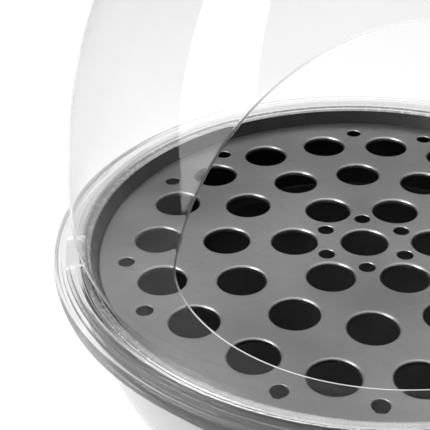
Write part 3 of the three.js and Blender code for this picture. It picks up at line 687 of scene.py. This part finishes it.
def make_knob():
    low = APEX + 2.1
    outline = rounded([
        (0, low + 16), (3.4, low + 16), (3.4, low), (16.5, low), (18, low + 4), (20.5, low + 13),
        (22, low + 22), (21.5, low + 27), (18, low + 30), (13.5, low + 30.5), (13, low + 30),
        (12.4, low + 30), (12, low + 30.6), (0, low + 31),
    ], 2.6, 6)
    make_piece("knob", turned(outline, 96), WHITE, "dome_cover", ["dome_knob"])

    washer = rounded([(4, APEX + 0.3), (14, APEX + 0.3), (14, APEX + 1.8), (4, APEX + 1.8)], 0.5)
    make_piece("knob_washer", turned(washer, 64), RUBBER, "dome_cover", ["dome_knob_washer"])

    top = APEX - WALL - 0.9
    washer = rounded([(3.4, top - 1.2), (12, top - 1.2), (12, top), (3.4, top)], 0.4)
    make_piece("inner_washer", turned(washer, 64), RUBBER, "dome_cover", ["dome_screw_washer"])

    seat = top - 1.2 - GAP
    tip = APEX + 14
    knob_screw = screw(seat, -1, head_radius=6.5, head_height=3.5, shank_radius=3.0, shank_length=tip - seat)
    make_piece("knob_screw", knob_screw, BRIGHT, "dome_cover", ["dome_knob_screw"])


def screw(seat, side, head_radius, head_height, shank_radius, shank_length, x=0.0, y=0.0):
    """A pan-head screw with a six-lobed recess.  The head lies on the given side of its seat."""
    recess = head_radius * 0.42
    deep = head_height * 0.6
    face = seat + side * head_height

    def outline(azimuth):
        lobe = recess * (1 + 0.16 * math.cos(math.radians(6 * azimuth)))
        return [
            (0, face - side * deep), (lobe, face - side * deep), (lobe, face - side * 0.3),
            (lobe + 0.3, face), (head_radius * 0.72, face), (head_radius * 0.9, face - side * 0.5),
            (head_radius, seat + side * head_height * 0.45), (head_radius, seat + side * 0.2),
            (head_radius - 0.2, seat), (shank_radius, seat),
            (shank_radius, seat - side * (shank_length - 1)),
            (shank_radius * 0.6, seat - side * shank_length), (0, seat - side * shank_length),
        ]

    return turned(outline, 48, place=moved(x, y, 0))


# ---- the rim --------------------------------------------------------------------------------------
def make_rim():
    bore = 213.6
    step_radius = 218.9
    step_height = 9.9
    ring = rounded([
        (bore, RIM_BOTTOM), (RIM_RADIUS - 2.2, RIM_BOTTOM), (RIM_RADIUS - 0.7, RIM_BOTTOM + 1.2),
        (RIM_RADIUS, RIM_BOTTOM + 6), (RIM_RADIUS - 0.4, RIM_TOP - 0.9), (RIM_RADIUS - 1.4, RIM_TOP),
        (235.2, RIM_TOP), (234.2, RIM_TOP - 1.2), (232.4, RIM_TOP - 1.2), (231.4, RIM_TOP),
        (step_radius, RIM_TOP), (step_radius, step_height), (bore, step_height),
    ], 0.8, 3)
    make_piece("rim", turned(ring, 240), RIM_CLEAR, "base", ["rim_ring"], level=False)

    low = RIM_TOP + GAP
    block_top = low + 2.6
    block = rounded([
        (KEY_INNER, low), (KEY_OUTER, low), (KEY_OUTER, block_top), (KEY_INNER, block_top),
    ], 0.5, 3)
    for side, name in ((-1, "left"), (1, "right")):
        arc = sorted((FRONT + side * KEY_FROM, FRONT + side * KEY_TO))
        shell = turned(block, 12, arc)
        shell.normal_update()
        for face in shell.faces:
            middle = face.calc_center_median()
            around = Vector((-middle.y, middle.x, 0)).normalized()
            if abs(face.normal.dot(around)) > 0.9:  # the block's two end faces
                face.material_index = 1
        make_piece(f"locating_block_{name}", shell, [RIM_CLEAR, FROSTED], "base",
                   [f"key_block_{name}"])

    lip = rounded([
        (222.6, low), (229.4, low), (229.0, low + 1.6), (226.6, low + 1.8), (226.2, low + 3.4),
        (223.0, low + 3.4),
    ], 0.6, 3)
    reach = KEY_FROM - 0.4
    make_piece("front_drip_lip", turned(lip, 150, (FRONT - reach, FRONT + reach)), RIM_CLEAR, "base",
               ["drip_lip"], level=False)

    top = RIM_BOTTOM - GAP
    groove = BAND_RADIUS - 0.5
    band = rounded([
        (209.6, -28), (211.9, -28), (211.9, BAND_BOTTOM), (BAND_RADIUS - 0.6, BAND_BOTTOM),
        (BAND_RADIUS, BAND_BOTTOM + 0.8), (BAND_RADIUS, BAND_BOTTOM + 2.6), (groove, BAND_BOTTOM + 3),
        (groove, BAND_BOTTOM + 3.6), (BAND_RADIUS, BAND_BOTTOM + 4), (BAND_RADIUS, top), (209.6, top),
    ], 0.4, 3)
    make_piece("band", turned(band), TRIM, "base", ["trim_band"])

    seal = rounded([(213.9, 10.2), (217.3, 10.2), (217.3, 11.2), (213.9, 11.2)], 0.4, 3)
    make_piece("seal", turned(seal), RUBBER, "base", ["pan_seal"])


# ---- the pan and the tray -------------------------------------------------------------------------
def make_pan():
    under_tray = -SHEET - GAP
    ledge = 206
    flare = 5.3  # how far the wall leans out from the ledge to the rolled edge
    lip = 12.7
    bare_radius = ledge + flare * (BARE_LIP - under_tray) / (lip - under_tray)
    outline = rounded([
        (0, PAN_FLOOR), (186, PAN_FLOOR), (196, PAN_FLOOR + 5), (198, under_tray), (ledge, under_tray),
        (bare_radius, BARE_LIP), (ledge + flare, lip),
        (217.5, lip), (217.5, lip - PAN_WALL), (212.3, lip - PAN_WALL), (206.9, -3), (199.2, -3),
        (197.4, PAN_FLOOR + 4.8), (186.4, PAN_FLOOR - PAN_WALL), (0, PAN_FLOOR - PAN_WALL),
    ], 3.0, 6)
    shell = turned(outline)
    bare_from = TRAY_TOP + BARE_LIP * MM
    for face in shell.faces:
        if face.calc_center_median().z > bare_from:
            face.material_index = 1
    make_piece("pan", shell, [COATING, BRIGHT], "base", ["heating_pan"])


def make_tray():
    # Each ring's radius, number of holes, azimuth of its first hole, and radius of a hole.
    rings = [(0, 1, 0, SEAT_RADIUS), (54.0, 6, -120, SEAT_RADIUS), (106.7, 12, -90, SEAT_RADIUS),
             (160.7, 18, -100, SEAT_RADIUS), (34.0, 6, -90, STEAM_RADIUS),
             (184.0, 6, -90, STEAM_RADIUS), (184.0, 6, -110, STEAM_RADIUS)]
    corners = 240
    outside = [polar(TRAY_RADIUS, 360 * i / corners) for i in range(corners)]
    loops = [(outside, edge_path(-SHEET, 0, 0.6))]
    roll = 1.8  # radius of the rolled edge round a seat
    collar = [(roll * (1 - math.sin(math.radians(18 * k))), -roll * (1 - math.cos(math.radians(18 * k))))
              for k in range(6)]
    collar += [(0, -3.4), (0.4, -3.9), (0.9, -3.9), (1.3, -3.4), (1.3, -SHEET - 0.9), (1.9, -SHEET)]
    for radius, count, start, size in rings:
        for i in range(count):
            x, y = polar(radius, start + TRAY_TURN + 360 * i / count)
            if size == SEAT_RADIUS:
                loops.append((circle(x, y, size, 48), collar))
            else:
                loops.append((circle(x, y, size, 28), edge_path(-SHEET, 0, 0.7)))
    make_piece("tray", plate(loops).mesh, SHEET_STEEL, "tray", ["egg_tray"])


# ---- the base -------------------------------------------------------------------------------------
def bowl_radius(height, inset=0.0):
    return (BOWL_RADIUS - inset) * math.sqrt(1 - (height / (BOWL_DEPTH - inset)) ** 2)


def make_bowl():
    steps = 40
    first = math.asin(BOWL_TOP / BOWL_DEPTH)
    last = math.asin(BOWL_BOTTOM / BOWL_DEPTH)
    outer = []
    for k in range(steps + 1):
        slope = first + (last - first) * k / steps
        outer.append((BOWL_RADIUS * math.cos(slope), BOWL_DEPTH * math.sin(slope)))
    floor = COVER_TOP + GAP + 3
    heights = [floor + (BOWL_TOP - floor) * k / 24 for k in range(25)]
    inner = [(bowl_radius(height, BOWL_WALL), height) for height in heights]
    recess = rounded([
        outer[-1], (COVER_RADIUS + 0.7, BOWL_BOTTOM), (COVER_RADIUS + 0.7, COVER_TOP + GAP),
        (LEDGE_RADIUS, COVER_TOP + GAP), (LEDGE_RADIUS, floor), inner[0],
    ], 0.6, 3, closed=False)[1:-1]
    make_piece("bowl", turned(outer + recess + inner), WHITE, "base", ["base_shell"],
               level=False)


def make_bottom():
    under = COVER_TOP - COVER_THICK
    spots = [polar(SCREW_RING, a) for a in (0, 90, 180, 270)]
    corners = 144
    outside = [polar(COVER_RADIUS, 360 * i / corners) for i in range(corners)]
    loops = [(outside, edge_path(under, COVER_TOP, 0.5))]
    for x, y in spots:
        loops.append((circle(x, y, 2.4, 24), edge_path(under, COVER_TOP, 0.2, 2)))
    vent_ring = 70
    vent_radius = 4
    for i in range(12):
        x, y = polar(vent_ring, 15 + 30 * i)
        loops.append((circle(x, y, vent_radius, 28), edge_path(under, COVER_TOP, 0.5, 3)))
    cover = plate(loops)
    rib_corners = 120
    for radius in (40, 100):
        rib = rounded([
            (radius, under + 0.2), (radius + 2, under + 0.2), (radius + 1.6, under - 0.8),
            (radius + 0.4, under - 0.8),
        ], 0.3, 3)
        turns = [360 * i / rib_corners for i in range(rib_corners)]
        cover.skin([[metres(*polar(r, turn), z) for r, z in rib] for turn in turns])
    make_piece("underside_cover", cover.mesh, BLACK, "base", ["bottom_cover"])

    seat = under - GAP
    for i, (x, y) in enumerate(spots):
        cover_screw = screw(seat, -1, head_radius=4, head_height=2, shank_radius=1.8, shank_length=9.5,
                            x=x, y=y)
        make_piece(f"underside_screw_{i + 1}", cover_screw, BRIGHT, "base", [f"cover_screw_{i + 1}"])

    floor = -TRAY_TOP / MM
    foot = rounded([
        (0, seat), (14.5, seat), (14.3, seat - 3), (13.6, seat - 3.4), (13.6, seat - 4.2), (14, seat - 4.6),
        (12.5, floor), (9.5, floor), (8.5, floor + 1), (6, floor + 1), (5, floor), (0, floor),
    ], 0.5, 3)
    for i in range(4):
        x, y = polar(FOOT_RING, 45 + 90 * i)
        make_piece(f"rubber_foot_{i + 1}", turned(foot, 64, place=moved(x, y, 0)), RUBBER, "base",
                   [f"foot_{i + 1}"])


# ---- housings on the bowl -------------------------------------------------------------------------
def housing(outer, inner, face, side, edge=2.0):
    """A moulded box that runs from its face back to the bowl.

    The outer and inner outlines are those of its wall, side is -1 at the front and 1 at the back, and edge is
    the radius with which its face is rounded off.
    """
    slopes = [math.radians(22.5 * k) for k in range(5)]
    shrink = [(edge * (1 - math.sin(slope)), edge * (1 - math.cos(slope))) for slope in slopes]
    middle_z = sum(p[1] for p in outer) / len(outer)
    shell = Shell()
    columns = []
    for (x, z), (u, w) in zip(outer, inner):
        towards = Vector((0, middle_z)) - Vector((x, z))
        towards.normalize()
        column = [(u, face - side * 0.4, w), (u + (x - u) * 0.05, face, w + (z - w) * 0.05)]
        for offset, depth in shrink:
            column.append((x + towards.x * offset, face - side * depth, z + towards.y * offset))
        column.append((x, side * math.sqrt(bowl_radius(z) ** 2 - x * x) + side * 0.05, z))
        column.append((u, side * math.sqrt(bowl_radius(w) ** 2 - u * u) + side * 0.05, w))
        columns.append([metres(*p) for p in column])
    shell.skin(columns)
    return shell.mesh


def panel_outline(half_x, half_z, corner, middle):
    return [(x, z + middle) for x, z in rounded_rectangle(half_x, half_z, corner)]


def make_front_panel():
    half_z = (PANEL_HIGH - PANEL_LOW) / 2
    outer = panel_outline(PANEL_HALF, half_z, 12, PANEL_MID)
    inner = panel_outline(PANEL_HALF - 4, half_z - 4, 9, PANEL_MID)
    make_piece("panel_housing", housing(outer, inner, FRONT_FACE, -1, 0.4), WHITE, "base",
               ["control_housing"])

    front = moved(0, 0, PANEL_MID, FACING_FRONT)
    lamp = LAMP_HEIGHT - PANEL_MID
    high = -FASCIA_FRONT
    low = high - FASCIA_THICK
    window = [(x + SWITCH_X, z) for x, z in reversed(rounded_rectangle(7.4, 11.4, 1))]
    fascia = plate([
        (rounded_rectangle(PANEL_HALF, half_z, 12), edge_path(low, high, 0.9)),
        (circle(DIAL_X, 0, 5, 40), edge_path(low, high, 0.3, 2)),
        (circle(0, lamp, 4.4, 40), edge_path(low, high, 0.3, 2)),
        (window, edge_path(low, high, 0.3, 2)),
    ], front)
    make_piece("panel_fascia", fascia.mesh, TRIM, "base", ["control_fascia"])

    marks = Shell()
    travel = 270  # the dial's turn, in degrees, with a longer mark at its ends and its middle
    gaps = 10
    scale_radius = 22.6
    for k in range(gaps + 1):
        angle = travel // gaps * k  # clockwise from the top, where the dial rests
        main = k % 5 == 0
        long = 2.6 if main else 1.6
        across = 0.55 if main else 0.35
        centre_x, centre_z = polar(scale_radius + long / 2, 90 - angle)
        turn = Matrix.Rotation(math.radians(-angle), 4, "Z")
        spot = front @ Matrix.Translation((DIAL_X + centre_x, centre_z, 0)) @ turn
        mark = rounded_rectangle(across, long / 2, 0.3, 4)
        plate([(mark, edge_path(high - 0.05, high + 0.12, 0.05, 2))], spot, marks)
    make_piece("dial_scale", marks.mesh, INK, "base")
    make_dial(front, high)
    make_switch(front, high)
    make_lens(front, lamp, high)


def make_dial(front, high):
    base = high + 0.6

    def outline(azimuth):
        flute = 0.55 * max(0.0, math.cos(math.radians(24 * azimuth))) ** 2
        return [
            (0, base), (17.9, base), (18.5, base + 0.6), (18.5, base + 2), (17.9, base + 2.5),
            (16.2, base + 2.7), (15.4, base + 3.4), (15.0 - flute, base + 5), (14.5 - flute, base + 12),
            (14.1 - flute * 0.6, base + 13.8), (13.2, base + 15), (12, base + 15.4), (9.5, base + 15.4),
            (9.0, base + 15.1), (0, base + 15.1),
        ]

    place = front @ Matrix.Translation((DIAL_X, 0, 0))
    make_piece("dial_knob", turned(outline, 192, place=place), WHITE, "dial", ["temperature_dial"])
    pointer = plate([(rounded_rectangle(0.7, 3.6, 0.6, 5), edge_path(base + 15.0, base + 15.9, 0.3, 3))],
                    place @ Matrix.Translation((0, 8.2, 0)))
    make_piece("dial_pointer", pointer.mesh, BLACK, "dial")


def make_switch(front, high):
    place = front @ Matrix.Translation((SWITCH_X, 0, 0))
    hole = list(reversed(rounded_rectangle(5.6, 9.8, 0.8)))
    bezel = plate([(rounded_rectangle(9.5, 13.5, 1.6), edge_path(high + GAP, high + 2, 0.8)),
                   (hole, edge_path(high + GAP, high + 2, 0.4, 3))], place)
    plate([(rounded_rectangle(7, 11, 0.8), edge_path(high - 17, high + 1, 0.3, 2)),
           (hole, edge_path(high - 16.8, high + 0.9, 0.2, 2))], place, bezel)
    make_piece("switch_bezel", bezel.mesh, BLACK, "base", ["switch_frame"])

    outline = rounded([(2.2, -8.6), (0.9, 0), (2.2, 8.6), (-3.4, 8.6), (-5.2, 0), (-3.4, -8.6)], 0.9, 5)
    if signed_area(outline) < 0:
        outline.reverse()
    half_width = 5.2
    rest_lean = -10  # degrees: half of the rocker's travel
    axis = metres(SWITCH_X, FRONT_FACE + 0.6, PANEL_MID)
    # The outline's x runs out of the panel and its y runs up, so the plate's thickness lies along the axle.
    upright = Matrix(((0, 0, 1, SWITCH_X), (-1, 0, 0, FASCIA_FRONT), (0, 1, 0, PANEL_MID), (0, 0, 0, 1)))
    key = plate([(outline, edge_path(-half_width, half_width, 0.7))], upright)
    turn = Matrix.Rotation(math.radians(rest_lean), 4, "X")
    lean = Matrix.Translation(axis) @ turn @ Matrix.Translation(-axis)
    bmesh.ops.transform(key.mesh, matrix=lean, verts=key.mesh.verts)
    make_piece("switch_key", key.mesh, BLACK, "rocker", ["switch_rocker"])


def signed_area(points):
    """Twice the area inside an outline, negative when its points run clockwise."""
    return sum(points[i - 1][0] * p[1] - p[0] * points[i - 1][1] for i, p in enumerate(points))


def make_lens(front, lamp, high):
    outline = rounded([
        (0, high + 2.4), (3, high + 2.1), (5, high + 1.4), (6, high + 0.7), (6, high + GAP), (4, high + GAP),
        (4, high - 11), (0, high - 11),
    ], 0.4, 3)
    place = front @ Matrix.Translation((0, lamp, 0))
    make_piece("lamp_lens", turned(outline, 48, place=place), AMBER, "base", ["pilot_lens"])


def make_inlet():
    outer = panel_outline(30, 24, 8, INLET_HEIGHT)
    inner = panel_outline(15.6, 12.6, 1, INLET_HEIGHT)
    make_piece("socket_housing", housing(outer, inner, BACK_FACE, 1, 1.2), WHITE, "base",
               ["inlet_housing"])

    back = moved(0, 0, INLET_HEIGHT, FACING_BACK)
    mouth = rounded([(-12.4, -8.6), (12.4, -8.6), (12.4, 4.4), (8.6, 8.4), (-8.6, 8.4), (-12.4, 4.4)], 1.0, 3)
    mouth.reverse()
    sleeve = rounded_rectangle(15.2, 12.2, 1)
    face = BACK_FACE + 3
    recess = BACK_FACE - 19
    rear = BACK_FACE - 24
    sleeve_path = edge_path(recess, BACK_FACE + 0.8, 0.2, 2)
    socket = plate([(rounded_rectangle(25, 16, 3), edge_path(BACK_FACE + GAP, face, 0.8)),
                    (mouth, edge_path(BACK_FACE + GAP, face, 0.4, 3))], back)
    plate([(sleeve, sleeve_path), (mouth, sleeve_path)], back, socket)
    plate([(sleeve, edge_path(rear, recess, 0.3, 2))], back, socket)
    make_piece("mains_socket", socket.mesh, BLACK, "base", ["inlet_socket"])

    pin_path = edge_path(BACK_FACE - 28, BACK_FACE - 7, 0.5, 3)
    spots = {"neutral": (-7, -2), "live": (7, -2), "earth": (0, 2.6)}
    for name, (x, z) in spots.items():
        place = moved(x, 0, INLET_HEIGHT + z, FACING_BACK)
        pin = plate([(rounded_rectangle(2, 1, 0.3, 3), pin_path)], place)
        make_piece(f"socket_pin_{name}", pin.mesh, BRASS, "base", [f"inlet_pin_{name}"])


# ---- carried-over nodes ---------------------------------------------------------------------------
def dress_inner_parts():
    """The parts inside the base keep their CAD shape, with softened edges and a finish each."""
    finishes = {"bright_steel": BRIGHT, "bare_aluminium": ALUMINIUM, "black_plastic": BLACK, "brass": BRASS,
                "circuit_board": BOARD, "ceramic_white": CERAMIC, "rubber": RUBBER, "white_gloss": WHITE,
                "dark_trim": TRIM, "clear_acrylic": RIM_CLEAR, "amber_lens": AMBER,
                "tray_steel": SHEET_STEEL, "pan_coating": COATING}
    slots = {row["node"]: row["material_slot"] for row in frame["record"]["subparts"]}
    for name, node in frame["nodes"].items():
        if node.hide_render:
            continue
        node.data.materials.clear()
        node.data.materials.append(finishes[slots[name]])
        soften = node.modifiers.new("soft_edges", "BEVEL")
        soften.width = 0.3 * MM
        soften.segments = 2
        soften.limit_method = "ANGLE"
        soften.angle_limit = math.radians(35)


# ---- camera, light and floor ----------------------------------------------------------------------
CAMERA_PLACE = (-0.11488, -0.64378, 0.58458)
CAMERA_DOWN = 31.676  # degrees below level
CAMERA_ROLL = -2.064
LENS = 83.59  # millimetres, for a frame SENSOR wide
SENSOR = 36
WORLD_STRENGTH = 1.55


def make_camera():
    data = bpy.data.cameras.new("camera")
    data.sensor_width = SENSOR
    data.lens = LENS
    data.clip_start = 0.02
    camera = add_object("camera", data)
    down = Matrix.Rotation(math.radians(90 - CAMERA_DOWN), 4, "X")
    roll = Matrix.Rotation(math.radians(CAMERA_ROLL), 4, "Z")
    camera.matrix_world = Matrix.Translation(CAMERA_PLACE) @ down @ roll
    bpy.context.scene.camera = camera


def softbox(name, place, aim, up, width, height, watts):
    """A rectangular lamp that shines from its place towards its aim, with its height along up."""
    data = bpy.data.lights.new(name, "AREA")
    data.shape = "RECTANGLE"
    data.size = width
    data.size_y = height
    data.energy = watts
    lamp = add_object(name, data)
    backward = (Vector(place) - Vector(aim)).normalized()
    across = Vector(up).cross(backward).normalized()
    upward = backward.cross(across)
    turn = Matrix((across, upward, backward)).transposed().to_4x4()
    lamp.matrix_world = Matrix.Translation(place) @ turn


def make_light():
    softbox("left_softbox", place=(-1.3, -0.58, 0.94), aim=(0, -0.58, 0.94), up=(0, 0.38, 0.92),
            width=0.84, height=1.6, watts=34)
    world = bpy.data.worlds.new("studio")
    world.use_nodes = True
    bpy.context.scene.world = world
    tree = world.node_tree
    coordinates = tree.nodes.new("ShaderNodeTexCoord")
    split = tree.nodes.new("ShaderNodeSeparateXYZ")
    ramp = tree.nodes.new("ShaderNodeValToRGB")
    # White walls low down, a dimmer band above them and a bright ceiling, by the sine of the elevation.
    fill_ramp(ramp, [(0.0, 0.66), (0.1, 0.6), (0.24, 0.27), (0.6, 0.28), (0.82, 1.0)])
    tree.links.new(coordinates.outputs["Generated"], split.inputs["Vector"])
    tree.links.new(split.outputs["Z"], ramp.inputs["Fac"])
    tree.links.new(ramp.outputs["Color"], tree.nodes["Background"].inputs["Color"])
    tree.nodes["Background"].inputs["Strength"].default_value = WORLD_STRENGTH


def make_floor():
    paint = Paint("pale_floor", (0.93, 0.93, 0.93), 0.7)
    paint.tint(paint.noise(3), 0.004)
    paint.relief(paint.noise(300), 0.02, 0.1)
    count = 48
    rings = []
    for radius in (0.0, 0.3, 0.6, 1.2, 2.5, 5.0, 10.0, 20.0, 40.0):
        rings.append([(*polar(radius, 360 * i / count), 0.0) for i in range(count)])
    shell = Shell()
    shell.skin(rings, around=False)
    bmesh.ops.recalc_face_normals(shell.mesh, faces=shell.mesh.faces)
    mesh = bpy.data.meshes.new("floor")
    shell.mesh.to_mesh(mesh)
    shell.mesh.free()
    mesh.materials.append(paint.material)
    floor = add_object("floor", mesh)


make_camera()
make_light()
make_floor()
make_dome()
make_knob()
make_rim()
make_pan()
make_tray()
make_bowl()
make_bottom()
make_front_panel()
make_inlet()
dress_inner_parts()

bpy.context.scene.view_settings.view_transform = "Standard"
bpy.context.scene.cycles.transparent_max_bounces = 24
bpy.context.scene.cycles.transmission_bounces = 16
bpy.context.scene.cycles.max_bounces = 20
